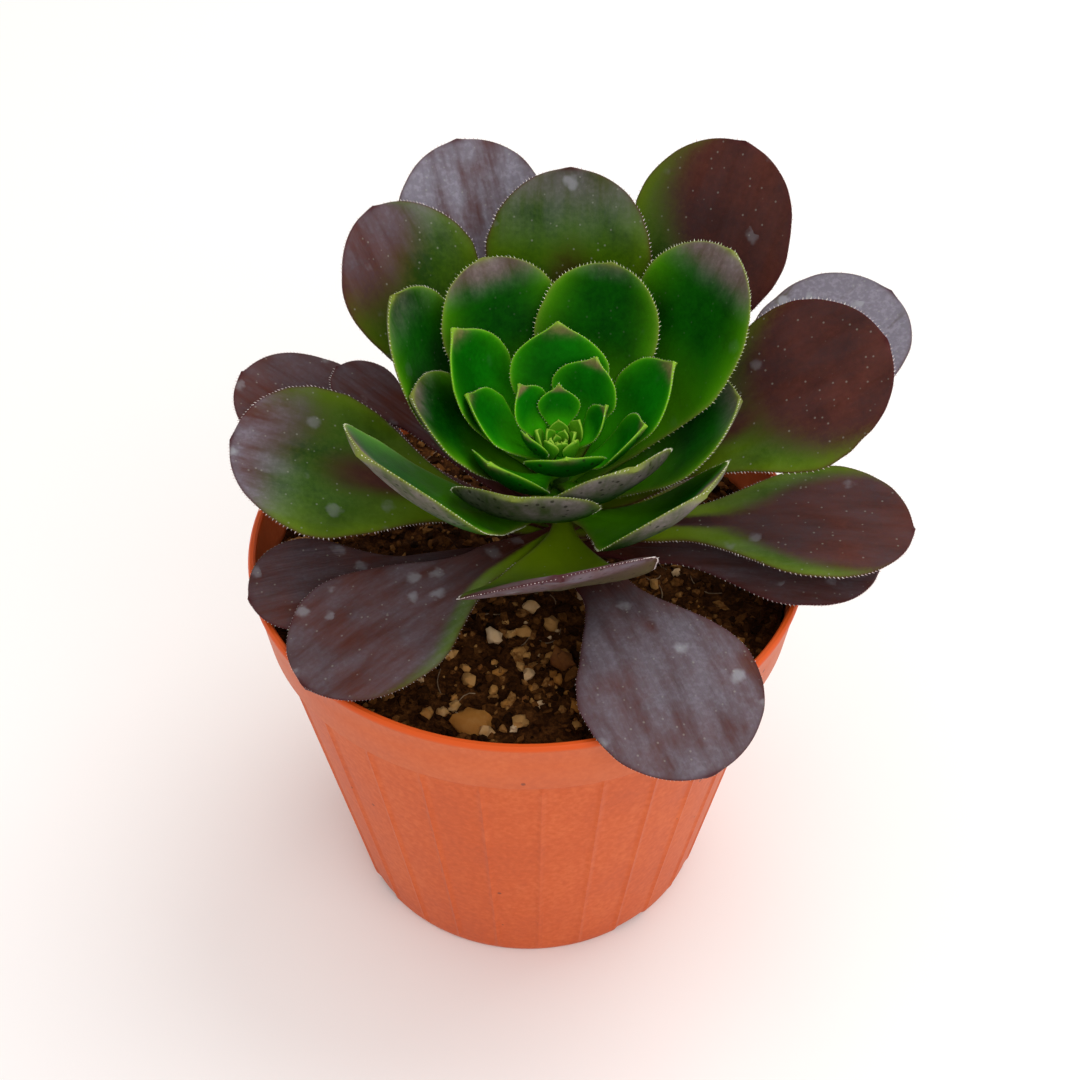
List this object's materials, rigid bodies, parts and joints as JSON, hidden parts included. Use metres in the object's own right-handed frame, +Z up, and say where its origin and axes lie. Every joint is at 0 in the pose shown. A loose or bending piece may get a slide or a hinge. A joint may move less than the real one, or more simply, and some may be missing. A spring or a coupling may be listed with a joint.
{
  "type": "potted succulent",
  "caption": "Rosette succulent with spoon-shaped purple and green leaves on a short stem, growing in potting mix in a round tapered plastic nursery pot.",
  "frame": {"origin": "centre of the pot's flat underside, on the pot's axis", "axes": "+Z up along the pot's axis; -Y is the side with the clear view of the potting mix and the leaf that hangs over the rim; +X to the right seen from there"},
  "size_m": [0.1288, 0.111, 0.1406],
  "materials": {
    "pot_plastic": "satin",
    "potting_mix": "matte",
    "stem": "matte",
    "growing_tip": "satin",
    "outer_leaf": "satin",
    "middle_leaf": "satin",
    "inner_leaf": "satin"
  },
  "bodies": {
    "root": {"nursery_pot": "pot_plastic", "potting_mix": "potting_mix", "stem": "stem", "growing_tip": "growing_tip", "outer_leaf_01": "outer_leaf", "outer_leaf_02": "outer_leaf", "outer_leaf_03": "outer_leaf", "outer_leaf_04": "outer_leaf", "outer_leaf_05": "outer_leaf", "outer_leaf_06": "outer_leaf", "outer_leaf_07": "outer_leaf", "outer_leaf_08": "outer_leaf", "outer_leaf_09": "outer_leaf", "outer_leaf_10": "outer_leaf", "outer_leaf_11": "outer_leaf", "outer_leaf_12": "outer_leaf", "outer_leaf_13": "outer_leaf", "outer_leaf_14": "outer_leaf", "outer_leaf_15": "outer_leaf", "middle_leaf_01": "middle_leaf", "middle_leaf_02": "middle_leaf", "middle_leaf_03": "middle_leaf", "middle_leaf_04": "middle_leaf", "middle_leaf_05": "middle_leaf", "middle_leaf_06": "middle_leaf", "middle_leaf_07": "middle_leaf", "middle_leaf_08": "middle_leaf", "middle_leaf_09": "middle_leaf", "middle_leaf_10": "middle_leaf", "inner_leaf_01": "inner_leaf", "inner_leaf_02": "inner_leaf", "inner_leaf_03": "inner_leaf", "inner_leaf_04": "inner_leaf", "inner_leaf_05": "inner_leaf", "inner_leaf_06": "inner_leaf", "inner_leaf_07": "inner_leaf", "inner_leaf_08": "inner_leaf", "inner_leaf_09": "inner_leaf", "inner_leaf_10": "inner_leaf", "inner_leaf_11": "inner_leaf", "inner_leaf_12": "inner_leaf"}
  },
  "joints": []
}
